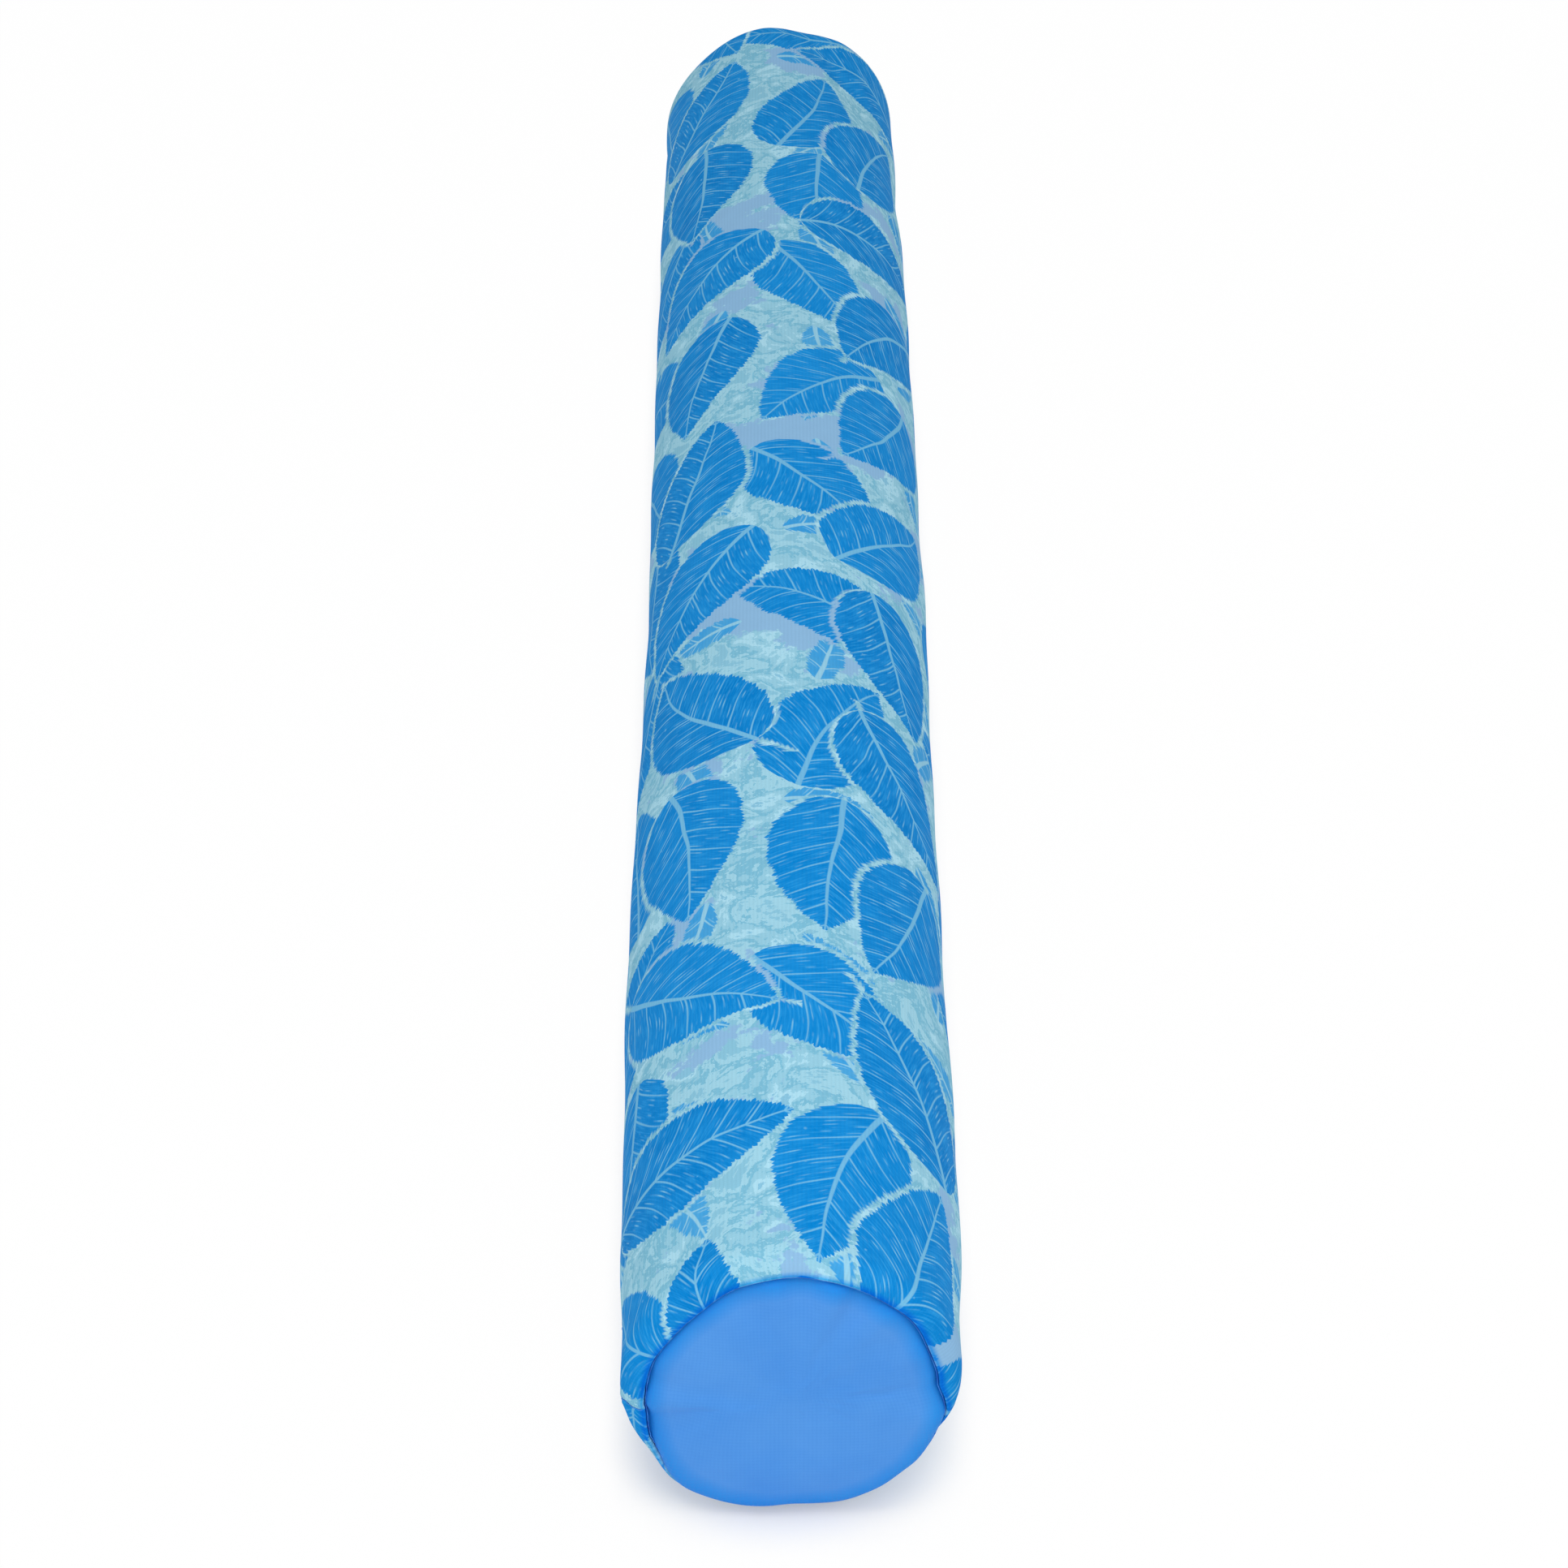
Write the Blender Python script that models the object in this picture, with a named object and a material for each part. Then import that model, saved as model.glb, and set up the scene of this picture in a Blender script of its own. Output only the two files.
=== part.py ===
"""A thick pool noodle: a foam bar in a sewn cloth cover, lying along Y on its flattened underside.

Metres, +Z up. The origin is on the floor under the middle of the noodle, and the front end faces -Y. Every
layer is a profile turned round the noodle's axis, and all layers share one set of angles, so that the gaps
between them stay even.
"""

import math

import bmesh
import bpy
from mathutils import Vector

# Overall sizes

DIAMETER = 0.140
LENGTH = 1.118
REST_SAG = 0.0018
BORE_DIAMETER = 0.025

# Cloth and sewing

CLOTH = 0.0008
LAYER_GAP = 0.0003
SEAM_ALLOWANCE = 0.010
THREAD_DIAMETER = 0.0004
SEAM_GROOVE_WIDTH = 0.0024
SEAM_ANGLE = math.radians(190)

# Each end: the round edge that the sleeve rolls over, how far it turns before its seam, how much the tube
# draws in and over what length, and how far the panel's middle bulges out past its seam

FRONT_EDGE_RADIUS = 0.009
FRONT_TURN = math.radians(78)
FRONT_DRAW_IN = 0.0012
FRONT_DRAW_LENGTH = 0.090
FRONT_CROWN = 0.0055

REAR_EDGE_RADIUS = 0.013
REAR_TURN = math.radians(55)
REAR_DRAW_IN = 0.0024
REAR_DRAW_LENGTH = 0.120
REAR_CROWN = 0.0065

# Counts and shares

SECTION_SIDES = 32
THREAD_SIDES = 6
THREAD_BEVEL_RESOLUTION = 1
EDGE_SHARES = (0, 1 / 3, 2 / 3, 1)
CROWN_SHARES = (0.35, 0.65, 0.86)
CROWN_POWER = 3
GROOVE_FADE_SHARES = (0.45, 0.8)

# Worked out from the sizes above. A depth is measured inwards from the cover's outer face.

RADIUS = DIAMETER / 2
AXIS_HEIGHT = RADIUS - REST_SAG
THREAD_RADIUS = THREAD_DIAMETER / 2
GROOVE_DEPTH = LAYER_GAP + THREAD_DIAMETER
FOLD_TOP_DEPTH = CLOTH + LAYER_GAP
FOLD_UNDER_DEPTH = FOLD_TOP_DEPTH + CLOTH
FOLD_RADIUS = FOLD_UNDER_DEPTH / 2
PANEL_DEPTH = FOLD_UNDER_DEPTH + LAYER_GAP
PANEL_UNDER_DEPTH = PANEL_DEPTH + CLOTH
CORE_END_DEPTH = PANEL_UNDER_DEPTH + LAYER_GAP
CORE_WALL_DEPTH = CLOTH + LAYER_GAP


class End:
    """One end's profile. Its points are (inset, radius, depth): inset runs inwards from the end's outermost
    point, and radius runs out from the noodle's axis."""

    def __init__(self, edge_radius, turn, draw_in, draw_length, crown):
        self.edge_radius = edge_radius
        self.seam_tilt = math.pi / 2 - turn
        self.edge_run = edge_radius * turn
        self.draw_in = draw_in
        self.draw_length = draw_length
        self.edge_inset = crown + (edge_radius - PANEL_DEPTH) * math.cos(self.seam_tilt)
        self.edge_centre_radius = RADIUS - draw_in - edge_radius

    def at(self, run, depth):
        """The point `run` along the cover from the seam, round the edge and along the wall, and `depth` below it."""
        if run <= self.edge_run:
            angle = self.seam_tilt + run / self.edge_radius
            reach = self.edge_radius - depth
            inset = self.edge_inset - reach * math.cos(angle)
            return inset, self.edge_centre_radius + reach * math.sin(angle), depth
        along = run - self.edge_run
        draw = self.draw_in * max(0, 1 - along / self.draw_length)
        return self.edge_inset + along, RADIUS - draw - depth, depth

    def edge(self, depth):
        """The cover's edge and drawn-in wall, from the seam inwards along the noodle."""
        round_part = [self.at(share * self.edge_run, depth) for share in EDGE_SHARES]
        return round_part + [self.at(self.edge_run + self.draw_length, depth)]

    def allowance(self, depth):
        """The sewn-in edge of the cloth, from the seam outwards under the sleeve's own round edge."""
        runs = [share * self.edge_run for share in EDGE_SHARES if share * self.edge_run < SEAM_ALLOWANCE]
        return [self.at(run, depth) for run in runs + [SEAM_ALLOWANCE]]

    def face(self, depth, from_radius=0):
        """The bulging end face, from `from_radius` out to just short of the seam."""
        edge_inset, edge_radius, _ = self.at(0, depth)
        middle_inset = depth - PANEL_DEPTH
        radii = [from_radius] + [share * edge_radius for share in CROWN_SHARES if share * edge_radius > from_radius]
        fall = edge_inset - middle_inset
        return [(middle_inset + fall * (radius / edge_radius) ** CROWN_POWER, radius, depth) for radius in radii]

    def fold_tip(self):
        """The tip where the sleeve's edge turns back under itself."""
        inset, radius, depth = self.at(0, FOLD_RADIUS)
        tip_inset = inset - FOLD_RADIUS * math.sin(self.seam_tilt)
        return tip_inset, radius - FOLD_RADIUS * math.cos(self.seam_tilt), depth

    def thread_centre(self):
        """Where the seam's thread lies: in the crease, off the fold's tip and off the panel."""
        depth = PANEL_DEPTH - LAYER_GAP - THREAD_DIAMETER
        reach = FOLD_RADIUS + LAYER_GAP + THREAD_RADIUS
        inset, radius, _ = self.at(0, depth)
        return inset - reach * math.sin(self.seam_tilt), radius - reach * math.cos(self.seam_tilt)


FRONT = End(FRONT_EDGE_RADIUS, FRONT_TURN, FRONT_DRAW_IN, FRONT_DRAW_LENGTH, FRONT_CROWN)
REAR = End(REAR_EDGE_RADIUS, REAR_TURN, REAR_DRAW_IN, REAR_DRAW_LENGTH, REAR_CROWN)


def section_angles():
    """Even steps round the noodle, with the lengthwise seam's groove set in among them."""
    step = math.tau / SECTION_SIDES
    half_groove = SEAM_GROOVE_WIDTH / DIAMETER
    clear = half_groove + step / 3
    even = [i * step for i in range(SECTION_SIDES) if abs(i * step - SEAM_ANGLE) > clear]
    return sorted(even + [SEAM_ANGLE - half_groove, SEAM_ANGLE, SEAM_ANGLE + half_groove])


ANGLES = section_angles()


def groove(angle, radius):
    """How far the lengthwise seam draws a point in. It fades out over the end face."""
    if angle != SEAM_ANGLE:
        return 0
    start, stop = (share * RADIUS for share in GROOVE_FADE_SHARES)
    return GROOVE_DEPTH * min(1, max(0, (radius - start) / (stop - start)))


def place(along, radius, depth, angle):
    """A profile point turned to `angle`. The underside lies flat, each layer its own depth above the floor."""
    reach = radius - groove(angle, radius)
    height = max(AXIS_HEIGHT + reach * math.sin(angle), depth)
    return Vector((reach * math.cos(angle), along, height))


def front_points(points):
    return [(inset - LENGTH / 2, radius, depth) for inset, radius, depth in points]


def rear_points(points):
    return [(LENGTH / 2 - inset, radius, depth) for inset, radius, depth in points]


def material(name, colour, roughness):
    made = bpy.data.materials.new(name)
    made.use_nodes = True
    shader = made.node_tree.nodes["Principled BSDF"]
    shader.inputs["Base Color"].default_value = (*colour, 1)
    shader.inputs["Roughness"].default_value = roughness
    shader.inputs["Metallic"].default_value = 0
    return made


def turned(name, profile, finish, loop=True):
    """A body turned from a profile. A profile that isn't a loop starts and ends on the axis."""
    mesh = bmesh.new()
    rings = []
    for along, radius, depth in profile:
        if radius == 0:
            rings.append([mesh.verts.new(place(along, radius, depth, 0))])
        else:
            rings.append([mesh.verts.new(place(along, radius, depth, angle)) for angle in ANGLES])
    pairs = list(zip(rings, rings[1:]))
    if loop:
        pairs.append((rings[-1], rings[0]))
    for first, second in pairs:
        for i in range(len(ANGLES)):
            j = (i + 1) % len(ANGLES)
            corners = [first[i % len(first)], first[j % len(first)], second[j % len(second)], second[i % len(second)]]
            mesh.faces.new(dict.fromkeys(corners))
    bmesh.ops.recalc_face_normals(mesh, faces=mesh.faces)
    bmesh.ops.triangulate(mesh, faces=mesh.faces)
    data = bpy.data.meshes.new(name)
    mesh.to_mesh(data)
    mesh.free()
    data.shade_smooth()
    data.set_sharp_from_angle(angle=math.radians(40))
    data.materials.append(finish)
    made = bpy.data.objects.new(name, data)
    bpy.context.scene.collection.objects.link(made)
    return made


def cover_sleeve(finish):
    """The printed tube. At each end it rolls over the foam's edge to its seam and folds back under itself."""

    def end_profile(end):
        fold = [end.fold_tip()] + end.allowance(FOLD_UNDER_DEPTH) + end.allowance(FOLD_TOP_DEPTH)[:0:-1]
        slot_end = end.at(0, CLOTH + LAYER_GAP / 2)
        return end.edge(0)[::-1] + fold + [slot_end] + end.edge(CLOTH)[1:]

    profile = front_points(end_profile(FRONT)) + rear_points(end_profile(REAR))[::-1]
    return turned("cover_sleeve", profile, finish)


def end_panel(name, end, to_noodle, finish):
    """A round of plain cloth that bulges out inside its seam. Its sewn edge lies under the sleeve's fold."""
    outside = end.face(PANEL_DEPTH) + end.allowance(PANEL_DEPTH)
    inside = end.face(PANEL_UNDER_DEPTH) + end.allowance(PANEL_UNDER_DEPTH)
    return turned(name, to_noodle(outside + inside[::-1]), finish, loop=False)


def foam_core(finish):
    """The foam bar with its bore. The cover presses its ends to a bulging face with a soft rounded edge."""

    def end_profile(end):
        pressed = end.face(CORE_END_DEPTH, BORE_DIAMETER / 2) + end.allowance(CORE_END_DEPTH)
        step_run = max(SEAM_ALLOWANCE + CORE_END_DEPTH, end.edge_run)
        step = end.at(step_run, CORE_WALL_DEPTH)
        return pressed + [step, end.at(end.edge_run + end.draw_length, CORE_WALL_DEPTH)]

    profile = front_points(end_profile(FRONT)) + rear_points(end_profile(REAR))[::-1]
    return turned("foam_core", profile, finish)


def end_seam_thread(name, end, to_noodle, finish):
    """The thread that joins a panel to the sleeve, one unbroken ring in the crease."""
    inset, radius = end.thread_centre()
    turns = [i * math.tau / THREAD_SIDES for i in range(THREAD_SIDES)]
    depth = PANEL_DEPTH
    loop = [(inset + THREAD_RADIUS * math.cos(a), radius + THREAD_RADIUS * math.sin(a), depth) for a in turns]
    return turned(name, to_noodle(loop), finish)


def lengthwise_seam_thread(finish):
    """The thread that closes the sleeve, one unbroken run in the groove from end seam to end seam."""
    above = -LAYER_GAP - THREAD_RADIUS

    def end_route(end):
        return end.edge(above)

    route = front_points(end_route(FRONT)) + rear_points(end_route(REAR))[::-1]
    curve = bpy.data.curves.new("lengthwise_seam_thread", "CURVE")
    curve.dimensions = "3D"
    curve.bevel_depth = THREAD_RADIUS
    curve.bevel_resolution = THREAD_BEVEL_RESOLUTION
    curve.use_fill_caps = True
    spline = curve.splines.new("POLY")
    spline.points.add(len(route) - 1)
    for point, (along, radius, depth) in zip(spline.points, route):
        point.co = (*place(along, radius, depth, SEAM_ANGLE), 1)
    curve.materials.append(finish)
    made = bpy.data.objects.new("lengthwise_seam_thread", curve)
    bpy.context.scene.collection.objects.link(made)
    return made


def main():
    for old in list(bpy.data.objects):
        bpy.data.objects.remove(old)
    printed_cloth = material("printed_cloth", (0.08, 0.36, 0.65), 0.6)
    plain_cloth = material("plain_cloth", (0.075, 0.29, 0.76), 0.55)
    foam = material("foam", (0.82, 0.84, 0.85), 0.85)
    thread = material("thread", (0.012, 0.12, 0.42), 0.6)
    foam_core(foam)
    cover_sleeve(printed_cloth)
    end_panel("front_end_panel", FRONT, front_points, plain_cloth)
    end_panel("rear_end_panel", REAR, rear_points, plain_cloth)
    end_seam_thread("front_end_seam_thread", FRONT, front_points, thread)
    end_seam_thread("rear_end_seam_thread", REAR, rear_points, thread)
    lengthwise_seam_thread(thread)


main()
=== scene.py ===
import math

import bmesh
import bpy
import numpy as np
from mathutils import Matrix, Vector


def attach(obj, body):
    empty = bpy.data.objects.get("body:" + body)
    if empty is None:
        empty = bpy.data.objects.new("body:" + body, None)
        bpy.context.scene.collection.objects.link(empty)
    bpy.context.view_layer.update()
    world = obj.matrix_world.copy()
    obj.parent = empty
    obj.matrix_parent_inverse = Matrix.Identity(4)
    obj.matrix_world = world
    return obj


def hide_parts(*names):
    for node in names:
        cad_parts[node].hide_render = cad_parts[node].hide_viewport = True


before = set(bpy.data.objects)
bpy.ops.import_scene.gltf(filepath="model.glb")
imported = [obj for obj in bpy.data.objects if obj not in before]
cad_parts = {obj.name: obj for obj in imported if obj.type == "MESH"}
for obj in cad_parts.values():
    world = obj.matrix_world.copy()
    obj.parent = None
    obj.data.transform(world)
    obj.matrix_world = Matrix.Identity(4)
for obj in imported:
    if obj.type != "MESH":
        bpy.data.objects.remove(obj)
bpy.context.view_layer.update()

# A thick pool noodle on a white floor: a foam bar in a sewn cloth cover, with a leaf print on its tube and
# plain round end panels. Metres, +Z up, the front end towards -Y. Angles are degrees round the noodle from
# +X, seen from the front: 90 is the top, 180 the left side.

MM = 0.001

# The noodle's sizes, as in its CAD source. A depth is measured inwards from the cover's outer face.

DIAMETER = 0.140
LENGTH = 1.118
REST_SAG = 0.0018
BORE_RADIUS = 0.0125
CLOTH = 0.0008
LAYER_GAP = 0.0003
SEAM_ALLOWANCE = 0.010
SEAM_ANGLE = 190
THREAD_RADIUS = 0.0002

RADIUS = DIAMETER / 2
AXIS_HEIGHT = RADIUS - REST_SAG
GIRTH = math.pi * DIAMETER
FOLD_UNDER_DEPTH = 2 * CLOTH + LAYER_GAP
FOLD_RADIUS = FOLD_UNDER_DEPTH / 2
PANEL_DEPTH = FOLD_UNDER_DEPTH + LAYER_GAP
CORE_END_DEPTH = PANEL_DEPTH + CLOTH + LAYER_GAP
CORE_WALL_DEPTH = 2 * CLOTH
THREAD_DEPTH = PANEL_DEPTH - LAYER_GAP - 2 * THREAD_RADIUS

# The creases that the sewing draws in

CREASE_DEPTH = 0.0009
CREASE_HALF_WIDTH = 0.0030
RIM_CREASE_DEPTH = 0.0018
SLIPPED_BULGE = 0.0014
STITCH = 0.0032

# How softly the side turns into the strip that rests on the floor

FLOOR_SOFTNESS = 0.6 * MM

# About how far in from the noodle's side an end's seam lies, and its radius on the panel's flat cloth

SEAM_SET_IN = 0.008
PANEL_SEAM_RADIUS = RADIUS - 0.0030

# Soft lumps and hollows of the stuffed cover: the place along it, the reach along it, the angle, the spread
# to either side, and the height in mm

LUMPS = (
    (-0.556, 0.070, 230, 38, 3.4),
    (-0.556, 0.050, 215, 17, -2.4),
    (-0.556, 0.070, 250, 26, -0.8),
    (-0.556, 0.040, 270, 20, -3.8),
    (-0.556, 0.070, 294, 30, -1.2),
    (-0.556, 0.060, 311, 18, -0.6),
    (-0.556, 0.075, 323, 38, -2.7),
    (-0.556, 0.070, 339, 19, -2.8),
    (-0.556, 0.040, 354, 16, -1.0),
    (-0.518, 0.040, 176, 38, -1.2),
    (-0.518, 0.040, 4, 38, -1.0),
    (-0.378, 0.050, 3, 50, 1.2),
    (-0.556, 0.060, 145, 50, -1.0),
    (-0.470, 0.055, 3, 50, 1.4),
    (-0.290, 0.190, 178, 60, 2.1),
    (-0.190, 0.090, 2, 50, 0.2),
    (-0.020, 0.090, 178, 50, -1.2),
    (-0.010, 0.100, 2, 55, 1.6),
    (0.140, 0.110, 5, 50, 1.3),
    (0.110, 0.150, 176, 50, -0.4),
    (0.270, 0.100, 4, 50, 1.0),
    (0.440, 0.060, 4, 50, -2.2),
    (0.545, 0.060, 40, 38, 0.8),
    (0.558, 0.030, 84, 16, -2.4),
    (0.536, 0.034, 72, 17, -3.4),
    (0.508, 0.034, 60, 17, -3.8),
    (0.480, 0.034, 50, 17, -2.6),
    (0.545, 0.060, 96, 50, 1.8),
    (0.535, 0.070, 172, 50, 1.7),
    (0.560, 0.050, 140, 40, -1.6),
)

# Puckers of a panel: the angle, the spread to either side, the height in mm, and the share of the radius that
# it runs in from the seam

PUCKERS = (
    (20, 9, 1.4, 0.30), (33, 8, -0.8, 0.35), (47, 10, 1.6, 0.45), (61, 9, -2.2, 0.60),
    (73, 10, 2.2, 0.60), (86, 9, -1.3, 0.40), (97, 9, 1.4, 0.45), (112, 10, -1.5, 0.35),
    (127, 9, 0.7, 0.30), (141, 10, -0.7, 0.30), (158, 10, 0.7, 0.35), (174, 8, -1.6, 0.45),
    (186, 9, 2.2, 0.60), (199, 9, -1.2, 0.50), (214, 10, 0.7, 0.30), (235, 12, -0.7, 0.25),
    (262, 12, 0.8, 0.30), (284, 12, -0.8, 0.25), (306, 11, 0.8, 0.30), (330, 10, -0.8, 0.35),
    (344, 9, 0.8, 0.40), (357, 9, -0.7, 0.30),
)


def eased(x):
    """0 to 1 with a soft start and end."""
    x = np.clip(x, 0, 1)
    return x * x * (3 - 2 * x)


def between(angle, other):
    """Degrees between two directions round the noodle."""
    return np.abs((angle - other + 180) % 360 - 180)


def swell(angle, centre, spread):
    """1 at `centre` degrees, easing to 0 at `spread` degrees to either side."""
    return eased(1 - between(angle, centre) / spread)


# The two ends


class End:
    """One end of the noodle: its rounded edge, the seam that runs round it, and the panel inside the seam.

    A point is an inset, inwards from the end's outermost point, and a radius from the noodle's axis. A run is
    a distance along the cloth, from the seam round the edge and on along the tube.

    The tube draws in by `draw_in` over `draw_length`, and the panel's middle bulges out past its seam by
    `crown`. `slip` holds four angles: between the first and the last the panel has slipped, and between the
    middle two it has slipped fully.
    """

    def __init__(self, side, edge_radius, seam_tilt, draw_in, draw_length, crown):
        self.side = side
        self.edge_radius = edge_radius
        self.seam_tilt = seam_tilt
        self.draw_in = draw_in
        self.draw_length = draw_length
        centre_inset = crown + (edge_radius - PANEL_DEPTH) * math.cos(math.radians(seam_tilt))
        self.rim_inset = centre_inset - edge_radius
        self.pull = None

    def slipped(self, angle):
        """0 where the seam sits on the end face, 1 where the panel has slipped down over the edge."""
        ramp = np.interp((angle - 90) % 360 + 90, self.slip, (0, 1, 1, 0))
        return 0.5 * ramp + 0.5 * eased(ramp)

    def wander(self, angle):
        """Degrees by which the hand-guided seam strays from its line."""
        turn = np.radians(angle)
        strays = ((1.4, 5, 0.6), (1.3, 9, 2.0), (1.1, 14, self.side))
        return sum(most * np.sin(times * turn + start) for most, times, start in strays)

    def puckers(self, share, angle):
        """Small folds that run in over the panel from its seam."""
        fold = 0
        for way, spread, height, reach in PUCKERS:
            fold = fold + height * swell(angle, way, spread) * eased((share - 1 + reach) / reach)
        return MM * fold * eased((1 - share) / 0.04)

    def edge_run(self, angle):
        radius, tilt = self.edge(angle)
        return radius * (math.pi / 2 - tilt)

    def at(self, run, depth, angle):
        """The point `run` along the cloth and `depth` below its outer face."""
        radius, tilt = self.edge(angle)
        edge_run = self.edge_run(angle)
        turned = tilt + np.clip(run, 0, edge_run) / radius
        past = np.maximum(run - edge_run, 0)
        let_out = self.draw_in * eased(past / self.draw_length)
        inset = self.rim_inset + radius - (radius - depth) * np.cos(turned) + past
        return inset, RADIUS - self.draw_in - radius + (radius - depth) * np.sin(turned) + let_out

    def fold(self, turn, angle):
        """The tip of the tube's folded edge, from its under face at turn 0 to its outer face at turn 1."""
        inset, radius = self.at(0, FOLD_RADIUS, angle)
        tilt = self.edge(angle)[1]
        out, up = math.sin(math.pi * turn), -math.cos(math.pi * turn)
        inset = inset - FOLD_RADIUS * (out * np.sin(tilt) + up * np.cos(tilt))
        return inset, radius - FOLD_RADIUS * (out * np.cos(tilt) - up * np.sin(tilt))

    def face(self, share, depth, angle):
        """The bulging end face, `share` of the way from its middle to the seam."""
        inset, radius = self.at(0, depth, angle)
        middle = depth - PANEL_DEPTH
        slipped = self.slipped(angle)
        flatness = 4.2 + 14 * slipped
        fall = 1 - (1 - np.minimum(share, 1 - 1e-9) ** flatness) ** (1 - 0.5 * slipped)
        dip = RIM_CREASE_DEPTH * eased((share - 0.93) / 0.07) * (1 - slipped)
        bulge = SLIPPED_BULGE * slipped * eased((1 - share) / 0.015) * eased((share - 0.85) / 0.12)
        return middle + (inset - middle) * fall + dip - self.puckers(share, angle), radius * share + bulge

    def place(self, inset, radius, depth, angle, run=None):
        """Points in space, with the cover's lumps, its lengthwise crease and its flat underside."""
        along = self.side * (LENGTH / 2 - inset) + 0 * angle
        turn = np.radians(angle)
        swollen = 0.25 * np.sin(71 * along + 2 * turn) + 0.2 * np.sin(43 * along - 3 * turn)
        for centre, reach, way, spread, height in LUMPS:
            swollen = swollen + height * swell(angle, way, spread) * eased(1 - np.abs(along - centre) / reach)
        from_seam = between(angle, SEAM_ANGLE) / 360 * GIRTH
        crease = CREASE_DEPTH * (1 - eased(from_seam / CREASE_HALF_WIDTH)) ** 1.5
        crease = crease * eased((radius / RADIUS - 0.80) / 0.15)
        reach = radius + swollen * MM * (radius / RADIUS) ** 3 - crease
        points = np.stack([reach * np.cos(turn), along, AXIS_HEIGHT + reach * np.sin(turn)], axis=-1)
        if run is not None and self.pull is not None:
            points = points + self.pulled(run, angle)
        above = points[..., 2] - depth
        points[..., 2] = depth + (above + np.sqrt(above**2 + FLOOR_SOFTNESS**2)) / 2
        return points

    def pulled(self, run, angle):
        """How far the sewing has moved the cloth at a run from the seam, negative on the panel."""
        stations = np.concatenate([SIM_RUNS, (SIM_SHARES - 1) * RADIUS])
        row = np.interp(-run - 0 * angle, -stations, np.arange(len(stations)))
        column = ((angle - SEAM_ANGLE) % 360) / 360 * SIM_COLUMNS
        r = np.minimum(row.astype(int), len(stations) - 2)
        c = np.minimum(column.astype(int), SIM_COLUMNS - 1)
        down, over = (row - r)[..., None], (column - c)[..., None]
        near = self.pull[r, c] * (1 - over) + self.pull[r, c + 1] * over
        far = self.pull[r + 1, c] * (1 - over) + self.pull[r + 1, c + 1] * over
        return near * (1 - down) + far * down


class FrontEnd(End):
    """The roll is fatter at the upper left. At the bottom the panel has slipped down and bulges over it."""

    slip = (192, 234, 336, 362)

    def edge(self, angle):
        """The edge's roundness, and how far round it the seam sits."""
        slipped = self.slipped(angle)
        fuller = 3.6 * swell(angle, 140, 60) + swell(angle, 76, 34) + 2.2 * swell(angle, 14, 30)
        tilt = self.seam_tilt + self.wander(angle) - 11 * swell(angle, 146, 50) + 66 * slipped
        return self.edge_radius + MM * (fuller - 3 * slipped), np.radians(tilt)


class RearEnd(End):
    """The softer end. Its edge is rounder at the upper right, where it has been knocked in."""

    slip = (210, 240, 300, 330)

    def edge(self, angle):
        """The edge's roundness, and how far round it the seam sits."""
        slipped = self.slipped(angle)
        tilt = self.seam_tilt + self.wander(angle) + 25 * slipped
        return self.edge_radius - MM * (2 * swell(angle, 45, 50) + 3 * slipped), np.radians(tilt)


FRONT = FrontEnd(side=-1, edge_radius=0.009, seam_tilt=12, draw_in=0.0012, draw_length=0.090, crown=0.0055)
REAR = RearEnd(side=1, edge_radius=0.013, seam_tilt=35, draw_in=0.0024, draw_length=0.120, crown=0.0065)


# Grids of points, and the meshes made from them


BESIDE_SEAM = (0.5, 1.0, 1.5, 2.0, 2.6, 3.2)


def round_angles(count):
    """Angles once round from the lengthwise seam back to it. BESIDE_SEAM has the ones next to it, in mm."""
    near = [step * MM / GIRTH * 360 for step in BESIDE_SEAM]
    clear = near[-1] + 0.6
    even = [360 * i / count for i in range(count) if clear < 360 * i / count < 360 - clear]
    return np.array([0, *near, *even, *[360 - step for step in near[::-1]], 360]) + SEAM_ANGLE


def crowded(count):
    """Steps from 0 to 1 that crowd towards both ends."""
    even = np.linspace(0, 1, count)
    return even - 0.62 * np.sin(2 * math.pi * even) / (2 * math.pi)


def grid_mesh(name, points, cloth_uv=None, closed_tip=False, closed_loop=False, inside_out=False):
    """A mesh from rows of points that run once round. The first and last column are one line of points."""
    columns = points.shape[1] - 1
    mesh = bmesh.new()
    uv = mesh.loops.layers.uv.new("cloth")
    verts = [[mesh.verts.new(point) for point in row[:columns]] for row in points]

    def add_face(corners):
        corners = corners[::-1] if inside_out else corners
        face = mesh.faces.new([verts[r % len(verts)][c % columns] for r, c in corners])
        face.smooth = True
        if cloth_uv is not None:
            for loop, (r, c) in zip(face.loops, corners):
                loop[uv].uv = cloth_uv[r, c]

    for r in range(len(points) - 1 + closed_loop):
        for c in range(columns):
            add_face([(r, c), (r, c + 1), (r + 1, c + 1), (r + 1, c)])
    if closed_tip:
        add_face([(len(points) - 1, c) for c in range(columns)])
    data = bpy.data.meshes.new(name)
    mesh.to_mesh(data)
    mesh.free()
    made = bpy.data.objects.new(name, data)
    bpy.context.scene.collection.objects.link(made)
    return made


# On the map for baking, where the outer and the hidden faces start, and how much of it they take

MAP_MARGIN = 0.01
OUTER_START, OUTER_TALL = 0.01, 0.85
HIDDEN_START, HIDDEN_TALL = 0.875, 0.115


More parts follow.
